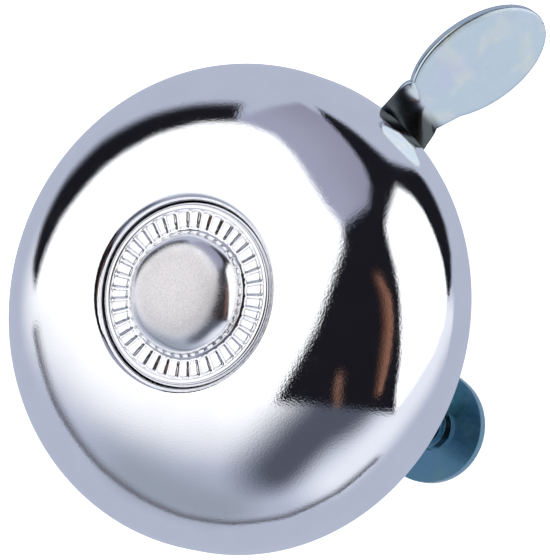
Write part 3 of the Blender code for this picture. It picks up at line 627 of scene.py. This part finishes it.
def neck_edges(share):
    """The neck's edges: it leaves the arm flat, and twists and droops on its way to the paddle."""
    start = PIVOT + ARM_ALONG * NECK_START + Vector((0, 0, ARM_LOW + ARM_THICKNESS / 2))
    end_left, end_right = paddle_edges(NECK_JOIN)
    end = (end_left + end_right) / 2
    run = end - start
    arriving = (run.normalized() + PADDLE_ALONG).normalized()
    middle = hermite(start, ARM_ALONG * run.length, end, arriving * run.length, share)
    middle.z -= NECK_SAG * math.sin(math.pi * share) ** 2
    twist = NECK_TWIST * share**0.75 + (1 - NECK_TWIST) * share**7
    across = ARM_LEFT.lerp(PADDLE_ACROSS, twist).normalized()
    arm_half = ARM_HALF_WIDTH - SHEET_INSET
    half = arm_half + ((end_left - end_right).length / 2 - arm_half) * share
    return middle + across * half, middle - across * half


def paddle_stations():
    """(left edge, right edge) of the lever's sheet, from inside the arm out to the paddle's tip."""
    start_left, start_right = neck_edges(0)
    stations = [(start_left - ARM_ALONG * back * MM, start_right - ARM_ALONG * back * MM)
                for back in (2.8, 2.1, 1.4, 0.7)]
    neck_steps, paddle_steps = 26, 60
    stations += [neck_edges(i / neck_steps) for i in range(neck_steps)]
    joined, last = math.asin(NECK_JOIN / PADDLE_HALF_LENGTH), math.radians(88.5)
    for i in range(paddle_steps + 1):
        angle = joined + (last - joined) * i / paddle_steps
        stations.append(paddle_edges(PADDLE_HALF_LENGTH * math.sin(angle)))
    return stations


def paddle_loops(columns=14):
    """Cross-sections of the sheet, with rounded edges."""
    stations = paddle_stations()
    half = SHEET / 2
    turns = [math.radians(a) for a in (0, 22.5, 45, 67.5, 90)]
    arcs = [(EDGE_ROUNDING * (1 - math.sin(a)), half - EDGE_ROUNDING * (1 - math.cos(a))) for a in turns]
    loops = []
    for i, (left, right) in enumerate(stations):
        before, after = stations[max(i - 1, 0)], stations[min(i + 1, len(stations) - 1)]
        across = (left - right).normalized()
        along = ((after[0] + after[1]) - (before[0] + before[1])).normalized()
        normal = along.cross(across).normalized()
        inward = []
        for k, towards in ((0, right - left), (1, left - right)):
            edge = (after[k] - before[k]).normalized()
            side = edge.cross(normal).normalized()
            inward.append(side if side.dot(towards) > 0 else -side)
        loop = []
        for k, up in ((0, 1), (1, -1)):
            here, other = (left, right) if k == 0 else (right, left)
            into, back = inward[k], inward[1 - k]
            loop += [here + into * o + normal * up * h for o, h in arcs]
            loop += [here + into * o - normal * up * h for o, h in reversed(arcs[:-1])]
            near = here + into * EDGE_ROUNDING - normal * up * half
            far = other + back * EDGE_ROUNDING - normal * up * half
            loop += [near.lerp(far, c / columns) for c in range(1, columns)]
        loops.append(loop)
    return loops


MODULE = 0.75 * MM
PRESSURE_ANGLE = math.radians(20)
ADDENDUM = 0.85
DEDENDUM = 1.15
BACKLASH = 0.10 * MM
SECTOR_TEETH = 32
LEVER_SWING = math.radians(32)
SHOULDER = 7.0 * MM
SECTOR_SIDE = 5.0 * MM
TAB_SIZE = (2.4 * MM, 1.0 * MM, 2.0 * MM)
TAB_ALONG = 6.6 * MM
TAB_LEFT = 2.3 * MM
GEAR_POST = middle_of("gear_post")
MESH_ANGLE = math.atan2(GEAR_POST.y - PIVOT.y, GEAR_POST.x - PIVOT.x)


def half_tooth_angle(teeth, radius):
    """Half the angle that a tooth takes up at this radius."""
    pitch_radius = MODULE * teeth / 2
    base_radius = pitch_radius * math.cos(PRESSURE_ANGLE)
    at_pitch = math.pi / (2 * teeth) - BACKLASH / (2 * pitch_radius)
    slope = math.acos(min(1, base_radius / radius))
    return at_pitch + (math.tan(PRESSURE_ANGLE) - PRESSURE_ANGLE) - (math.tan(slope) - slope)


def tooth(teeth, middle):
    """One involute tooth's outline, root to root, anticlockwise."""
    pitch_radius = MODULE * teeth / 2
    root = pitch_radius - DEDENDUM * MODULE
    tip = pitch_radius + ADDENDUM * MODULE
    base = max(root, pitch_radius * math.cos(PRESSURE_ANGLE))
    radii = [root, *(base + (tip - base) * k / 5 for k in range(6))]
    rising = [(r, -half_tooth_angle(teeth, r)) for r in radii]
    return [polar(r, middle + a) for r, a in rising + [(r, -a) for r, a in reversed(rising)]]


def lever_outline():
    """Plan about the pivot: arm, toothed sector and hub, anticlockwise from the arm's right side."""
    step = math.tau / SECTOR_TEETH
    root = MODULE * SECTOR_TEETH / 2 - DEDENDUM * MODULE
    last = MESH_ANGLE + step
    count = math.ceil((LEVER_SWING + 2 * step) / step) + 1
    first = last - step * (count - 1)
    points = [ARM_ALONG * ARM_LENGTH - ARM_LEFT * ARM_HALF_WIDTH, ARM_ALONG * ARM_LENGTH + ARM_LEFT * ARM_HALF_WIDTH]
    points += [ARM_ALONG * SHOULDER + ARM_LEFT * ARM_HALF_WIDTH, polar(SECTOR_SIDE, ARM_ANGLE + math.radians(75))]
    points.append(polar(root, first - step / 2))
    for i in range(count):
        points += tooth(SECTOR_TEETH, first + i * step)
    points.append(polar(root, last + step / 2))
    start, stop = last + math.radians(45), ARM_ANGLE + math.radians(270)
    points += [polar(HUB_RADIUS, start + (stop - start) * k / 24) for k in range(25)]
    return [(p.x, p.y) for p in points]


def extruded(name, outline, hole, low, high, at, bevel):
    """A flat piece with one round hole and rounded edges."""
    bm = bmesh.new()
    outer = [bm.verts.new((at[0] + x, at[1] + y, low)) for x, y in outline]
    inner = [bm.verts.new((at[0] + hole * math.cos(math.tau * i / 48),
                           at[1] + hole * math.sin(math.tau * i / 48), low)) for i in range(48)]
    edges = [bm.edges.new((loop[i], loop[(i + 1) % len(loop)])) for loop in (outer, inner) for i in range(len(loop))]
    bmesh.ops.triangle_fill(bm, use_beauty=True, use_dissolve=False, edges=edges)
    moved = bmesh.ops.extrude_face_region(bm, geom=list(bm.faces))
    lifted = [g for g in moved["geom"] if isinstance(g, bmesh.types.BMVert)]
    bmesh.ops.translate(bm, vec=(0, 0, high - low), verts=lifted)
    bmesh.ops.recalc_face_normals(bm, faces=bm.faces)
    bmesh.ops.dissolve_limit(bm, angle_limit=math.radians(0.5), verts=bm.verts, edges=bm.edges)
    rim = [e for e in bm.edges if len(e.link_faces) == 2
           and any(abs(f.normal.z) > 0.9 for f in e.link_faces) and e.calc_face_angle(0) > 1]
    bmesh.ops.bevel(bm, geom=rim, offset=bevel, segments=2, profile=0.5, affect="EDGES", clamp_overlap=True)
    return from_bmesh(name, bm, 40)


def united(obj, other):
    """obj joined with other by a Boolean, as one clean mesh."""
    step = obj.modifiers.new("join", "BOOLEAN")
    step.operation = "UNION"
    step.solver = "EXACT"
    step.object = other
    bpy.context.view_layer.update()
    graph = bpy.context.evaluated_depsgraph_get()
    mesh = bpy.data.meshes.new_from_object(obj.evaluated_get(graph))
    obj.modifiers.clear()
    obj.data = mesh
    bpy.data.objects.remove(other)
    return smooth(obj, 40)


# Return spring

COIL_RADIUS = 3.3 * MM
COIL_PITCH = 0.54 * MM
COIL_LOW = 17.45 * MM
POST_OFFSET = 6.0 * MM
WIRE_RADIUS = 0.25 * MM
POST_RADIUS = 1.2 * MM
SPRING_LEG = 7.6 * MM


def make_return_spring():
    to_post = ARM_ALONG * POST_OFFSET - ARM_LEFT * (HUB_RADIUS + POST_RADIUS + 0.1 * MM)
    lean = math.asin((COIL_RADIUS - POST_RADIUS - WIRE_RADIUS - 0.15 * MM) / to_post.length)
    leg_angle = math.atan2(to_post.y, to_post.x) + lean
    start = ARM_ANGLE + math.pi / 2
    sweep = (leg_angle - math.pi / 2 - start) % math.tau + 2 * math.tau
    turns = round(sweep / math.radians(7.5))
    low = Vector((0, 0, COIL_LOW))
    first = polar(COIL_RADIUS, start)
    points = [first + polar(SPRING_LEG * (1 - k / 8), ARM_ANGLE) + low for k in range(8)]
    for i in range(turns + 1):
        angle = sweep * i / turns
        points.append(polar(COIL_RADIUS, start + angle) + low + Vector((0, 0, COIL_PITCH * angle / math.tau)))
    end = points[-1]
    points += [end + polar((SPRING_LEG + 2.5 * MM) * k / 8, leg_angle) for k in range(1, 9)]
    spring = tube("fine_return_spring", [PIVOT + p for p in points], WIRE_RADIUS)
    finish_piece(spring, None, SPRING, "spring_steel", "return_spring")
    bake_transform(spring)


# Clamp screws: the CAD screws with softened edges, and a rolled thread wound on each

SCREW_RADIUS = 1.9 * MM
THREAD_PITCH = 0.7 * MM
THREAD_DEPTH = 0.14 * MM
THREAD_LENGTH = 5.3 * MM
THREAD_FROM_TIP = 1.0 * MM


def make_thread(end):
    low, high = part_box("clamp_screw_" + end)
    x, y = (low.x + high.x) / 2, (low.y + high.y) / 2
    top = high.z - THREAD_FROM_TIP
    bottom = top - THREAD_LENGTH
    turns = (top - bottom) / THREAD_PITCH
    count = round(turns * 28)
    loops = []
    for i in range(count + 1):
        t = i / count
        angle = math.tau * turns * t
        z = bottom + (top - bottom) * t
        fade = min(1, 14 * t, 14 * (1 - t))
        out = polar(1, angle)
        crest = SCREW_RADIUS + THREAD_DEPTH * fade
        root = SCREW_RADIUS - 0.08 * MM
        wide = THREAD_PITCH * 0.42
        centre = Vector((x, y, z))
        loops.append([
            centre + out * root + Vector((0, 0, -wide)),
            centre + out * crest + Vector((0, 0, -0.05 * MM)),
            centre + out * crest + Vector((0, 0, 0.05 * MM)),
            centre + out * root + Vector((0, 0, wide)),
        ])
    thread = loft("thread_" + end, loops, angle=30)
    finish_piece(thread, "screw_" + end, ZINC_SCREW, "zinc_screws")


def make_lever():
    arm = extruded("fine_thumb_lever", lever_outline(), RIVET_HOLE, ARM_LOW, ARM_TOP, PIVOT, 0.06 * MM)
    lever = united(arm, loft("lever_sheet", paddle_loops(), angle=40))
    bm = bmesh.new()
    bmesh.ops.create_cube(bm, size=1)
    bmesh.ops.scale(bm, vec=TAB_SIZE, verts=bm.verts)
    bmesh.ops.bevel(bm, geom=bm.edges[:], offset=0.15 * MM, segments=2, profile=0.5, affect="EDGES")
    place = PIVOT + ARM_ALONG * TAB_ALONG + ARM_LEFT * TAB_LEFT + Vector((0, 0, ARM_TOP + 0.1 * MM))
    bmesh.ops.transform(bm, matrix=Matrix.Translation(place) @ Matrix.Rotation(ARM_ANGLE, 4, "Z"), verts=bm.verts)
    lever = united(lever, from_bmesh("lever_tab", bm, 40))
    finish_piece(lever, "lever", ZINC_LEVER, "zinc_lever", "thumb_lever")


# Everything


def make_pieces():
    make_gong()
    make_boss_cap()
    make_lever()
    make_return_spring()
    for end in ("left", "right"):
        refined("clamp_screw_" + end, 0.12 * MM, ZINC_SCREW, "zinc_screws", segments=3)
        make_thread(end)
        refined("lock_washer_" + end, 0.08 * MM, ZINC_SCREW, "zinc_screws")
        refined("striker_" + end, 0.25 * MM, STEEL, "plain_steel", segments=3)
        refined("striker_pin_" + end, 0.10 * MM, STEEL, "plain_steel")
        refined("striker_retainer_" + end, 0.06 * MM, SPRING, "spring_steel")
    refined("clamp_saddle", 0.42 * MM, ZINC_CLAMP_PAINTED_DARK, "zinc_plate", segments=5)
    refined("clamp_strap", 0.24 * MM, ZINC_CLAMP_PAINTED_DARK, "zinc_plate", segments=4)
    refined("base_plate", 0.12 * MM, ZINC, "zinc_plate")
    refined("gong_seat_washer", 0.10 * MM, ZINC, "zinc_plate")
    for node in ("centre_stud", "gear_post", "spring_post", "lever_rivet", "gong_nut"):
        refined(node, 0.10 * MM, STEEL, "plain_steel")
    for node in ("lever_washer", "gear_clip", "rotor_clip"):
        refined(node, 0.05 * MM, SPRING, "spring_steel")
    refined("rotor_bar", 0.12 * MM, STEEL, "plain_steel")
    for node in ("intermediate_pinion", "rotor_pinion", "intermediate_wheel"):
        refined(node, 0.05 * MM, BRASS, "brass", segments=1)


# Studio: panels of light and dark cloth on a tent round the bell

TENT = 1.0


def tent_point(across, up, near):
    """A place on the tent, this many degrees across (+X) and up (+Y) from straight overhead."""
    fall = math.radians(math.hypot(across, up))
    turn = math.atan2(up, across)
    return Vector((math.sin(fall) * math.cos(turn), math.sin(fall) * math.sin(turn), math.cos(fall))) * TENT * near


def along_line(points, t):
    """The point this share of the way along a row of points."""
    place = t * (len(points) - 1)
    i = min(int(place), len(points) - 2)
    share = place - i
    return tuple(a + (b - a) * share for a, b in zip(points[i], points[i + 1]))


def cloth(name, rows, colours):
    """A cloth of the tent that glows with the colours of its grid of points; their fourth number is its density."""
    bm = bmesh.new()
    layer = bm.verts.layers.float_color.new("glow")
    grid = []
    for points, tones in zip(rows, colours):
        row = []
        for point, tone in zip(points, tones):
            vert = bm.verts.new(point)
            vert[layer] = tone
            row.append(vert)
        grid.append(row)
    for a, b in zip(grid, grid[1:]):
        for i in range(len(a) - 1):
            bm.faces.new((a[i], a[i + 1], b[i + 1], b[i]))
    obj = from_bmesh(name, bm, 180)
    material = bpy.data.materials.new(name)
    material.use_nodes = True
    tree = material.node_tree
    tree.nodes.clear()
    glow = tree.nodes.new("ShaderNodeEmission")
    clear = tree.nodes.new("ShaderNodeBsdfTransparent")
    mix = tree.nodes.new("ShaderNodeMixShader")
    colour = tree.nodes.new("ShaderNodeVertexColor")
    colour.layer_name = "glow"
    out = tree.nodes.new("ShaderNodeOutputMaterial")
    tree.links.new(colour.outputs["Color"], glow.inputs["Color"])
    tree.links.new(colour.outputs["Alpha"], mix.inputs[0])
    tree.links.new(clear.outputs[0], mix.inputs[1])
    tree.links.new(glow.outputs["Emission"], mix.inputs[2])
    tree.links.new(mix.outputs[0], out.inputs["Surface"])
    obj.data.materials.append(material)
    obj.visible_camera = False
    obj.visible_shadow = False
    return obj


def with_density(colour):
    return colour if len(colour) == 4 else (*colour, 1)


def panel(name, line_a, line_b, colour_a, colour_b=None, near=1.0, hold=0.0, steps=48, depth=16):
    """A cloth between two lines. It keeps colour_a for this share of its width, then fades to colour_b."""
    colour_a, colour_b = with_density(colour_a), with_density(colour_b or colour_a)
    rows, colours = [], []
    for i in range(steps + 1):
        a, b = along_line(line_a, i / steps), along_line(line_b, i / steps)
        row, tones = [], []
        for k in range(depth + 1):
            t = k / depth
            row.append(tent_point(a[0] + (b[0] - a[0]) * t, a[1] + (b[1] - a[1]) * t, near))
            fade = smoothstep(hold, 1.0, t)
            tones.append([p + (q - p) * fade for p, q in zip(colour_a, colour_b)])
        rows.append(row)
        colours.append(tones)
    return cloth(name, rows, colours)


def distance_to(line, place):
    """Degrees from a place on the tent to the nearest point of a line on it."""
    best = math.inf
    for a, b in zip(line, line[1:]):
        a, b, p = Vector(a), Vector(b), Vector(place)
        run = b - a
        t = min(1, max(0, (p - a).dot(run) / run.length_squared))
        best = min(best, (a + run * t - p).length)
    return best


WHITE = (1.22, 1.22, 1.24)
LILAC = (0.47, 0.51, 0.63)
BLACK = (0.010, 0.010, 0.014)
CLEAR_BLACK = (0.010, 0.010, 0.014, 0)
DUSK = (0.085, 0.095, 0.130)

# Soft changes of tone over the tent: (line, colour, degrees at full strength, degrees where it has faded out)
TONES = [
    ([(-34, 66), (-33, 40), (-30, 20), (-22, 0), (-14, -8)], (1.12, 1.12, 1.14), 0, 31),
    ([(-66, 12), (-69, -22)], (0.33, 0.37, 0.44), 3, 28),
    ([(-6, -52), (-14, -38), (-24, -35), (-36, -34)], DUSK, 6, 27),
    ([(-40, -72), (-12, -88), (30, -102), (80, -100)], (0.86, 0.89, 0.98), 3, 34),
]


def make_backdrop():
    """The tent itself: lilac cloth whose tone changes softly."""
    rows, colours = [], []
    for turn in range(0, 361, 3):
        row, tones = [], []
        for fall in range(0, 141, 3):
            place = (fall * math.cos(math.radians(turn)), fall * math.sin(math.radians(turn)))
            colour = Vector(LILAC)
            for line, tone, full, gone in TONES:
                colour = Vector(tone).lerp(colour, smoothstep(full, gone, distance_to(line, place)))
            row.append(tent_point(*place, 1.03))
            tones.append((*colour, 1))
        rows.append(row)
        colours.append(tones)
    cloth("tent_backdrop", rows, colours)


def make_tent():
    make_backdrop()
    panel("overhead_softbox",
          [(-38, 73), (-20, 74.5), (0, 71), (14, 65), (30, 54), (36, 46), (40, 36), (39, 26), (36, 16), (34, 7),
           (34, -1), (29, -5), (21, -7), (5, -11)],
          [(-37, 66), (-35, 60), (-34, 52), (-33, 44), (-32, 36), (-31, 28), (-30, 20), (-28, 14), (-26, 8),
           (-24, 2), (-22, -2), (-20, -6), (-19, -9), (-17, -12)],
          WHITE, (1.15, 1.15, 1.17), near=1.02)
    panel("back_band",
          [(-39, 72), (-30, 74), (-20, 74.5), (0, 71), (14, 65), (26, 57), (34, 49)],
          [(-36, 84), (-26, 93), (-12, 98), (2, 96), (18, 86), (32, 74), (46, 60)],
          BLACK, CLEAR_BLACK, near=0.99, hold=0.55)
    panel("side_panel",
          [(35, 50), (40, 36), (39, 26), (36, 16), (34, 7), (35, 0)],
          [(66, 50), (71, 34), (69, 20), (67, 8), (62, 0), (48, -7)],
          (0.37, 0.38, 0.50), (0.30, 0.30, 0.40), near=0.99)
    panel("dark_gap",
          [(62, 0), (52, -5), (42, -3), (34, -1), (29, -5), (21, -7), (5, -11), (-8, -12), (-17, -13), (-11, -31),
           (-6, -50), (-3, -66), (1, -86)],
          [(74, -12), (64, -13), (57, -15), (52, -19), (49, -24), (46, -31), (43, -37), (39, -43), (33, -51),
           (26, -59), (18, -67), (10, -75), (2, -87)],
          BLACK, near=0.98)
    panel("dark_side",
          [(70, 38), (69, 20), (67, 8), (62, 0), (57, -8), (68, -14), (82, -9), (91, -14), (99, -24), (100, -38),
           (101, -55), (95, -72), (88, -84)],
          [(73, 46), (83, 30), (90, 16), (97, 7), (108, 5), (118, 5), (129, 8), (138, 8), (142, -8), (142, -30),
           (129, -58), (108, -80), (90, -88)],
          BLACK, CLEAR_BLACK, near=0.98, hold=0.72)
    panel("low_softbox",
          [(82, -9), (66, -13), (54, -16), (49, -23), (45, -32), (40, -41), (32, -51), (22, -63), (10, -74), (2, -85)],
          [(85, -10), (95, -18), (100, -30), (101, -46), (98, -64), (88, -84), (70, -97), (45, -99), (20, -92),
           (3, -86)],
          WHITE, near=0.975)
    panel("brown_sleeve",
          [(33, -20), (30, -30), (24, -38), (14, -46), (2, -57)],
          [(36, -26), (35, -36), (29, -45), (18, -54), (5, -62)],
          (0.05, 0.025, 0.02), (0.30, 0.145, 0.10), near=0.97)
    panel("brown_fold",
          [(0, -29), (-5, -33), (-9, -38)], [(1, -33), (-4, -37), (-8, -42)],
          (0.28, 0.15, 0.11), (0.05, 0.03, 0.025),
          near=0.97)
    panel("tent_edge",
          [(-42, 62), (-54, 46), (-65, 26), (-71, 9), (-75, -8), (-75, -28), (-68, -52), (-52, -74), (-26, -92)],
          [(-48, 68), (-62, 51), (-74, 29), (-80, 10), (-84, -8), (-84, -31), (-77, -60), (-57, -86), (-29, -103)],
          (0.10, 0.10, 0.12, 0), (0.12, 0.12, 0.14, 1), near=0.985)


def make_world():
    world = bpy.data.worlds.new("studio")
    bpy.context.scene.world = world
    world.use_nodes = True
    background = world.node_tree.nodes["Background"]
    background.inputs["Color"].default_value = (0.47, 0.51, 0.63, 1)
    background.inputs["Strength"].default_value = 1.0


def make_floor():
    """A pale flat floor, seen by the camera only, low enough for the opened clamp; the metal mirrors the tent's cloth.
    """
    low = cad_box[0].z - 3.5 * MM
    bm = bmesh.new()
    bmesh.ops.create_grid(bm, x_segments=8, y_segments=8, size=30)
    for v in bm.verts:
        v.co.z = low
    floor = from_bmesh("floor", bm, 180)
    material = bpy.data.materials.new("pale_floor")
    material.use_nodes = True
    shader = material.node_tree.nodes["Principled BSDF"]
    shader.inputs["Base Color"].default_value = (0.85, 0.86, 0.88, 1)
    shader.inputs["Roughness"].default_value = 0.9
    shader.inputs["Emission Color"].default_value = (1, 1, 1, 1)
    shader.inputs["Emission Strength"].default_value = 0.9
    floor.data.materials.append(material)
    for flag in ("visible_diffuse", "visible_glossy", "visible_transmission", "visible_shadow"):
        setattr(floor, flag, False)


def make_camera():
    """The photograph's view: 21.4 degrees round, 63 degrees up, rolled, 700 mm from the gong's rim."""
    azimuth, elevation, roll = math.radians(21.37), math.radians(63.05), math.radians(-74.18)
    back = Vector((math.sin(azimuth) * math.cos(elevation), -math.cos(azimuth) * math.cos(elevation),
                   math.sin(elevation)))
    level = Vector((math.cos(azimuth), math.sin(azimuth), 0))
    over = back.cross(level)
    right = level * math.cos(roll) + over * math.sin(roll)
    up = over * math.cos(roll) - level * math.sin(roll)
    data = bpy.data.cameras.new("camera")
    data.sensor_width = 36
    data.lens = 400.7
    data.clip_start, data.clip_end = 0.01, 100
    camera = bpy.data.objects.new("camera", data)
    bpy.context.scene.collection.objects.link(camera)
    place = Vector((0, 0, RIM)) + back * 0.700 + right * 2.91 * MM + up * 3.52 * MM
    turned = Matrix((right, up, back)).transposed().to_4x4()
    camera.matrix_world = Matrix.Translation(place) @ turned
    bpy.context.scene.camera = camera


make_pieces()
make_tent()
make_world()
make_floor()
make_camera()
bpy.context.scene.view_settings.view_transform = "Standard"
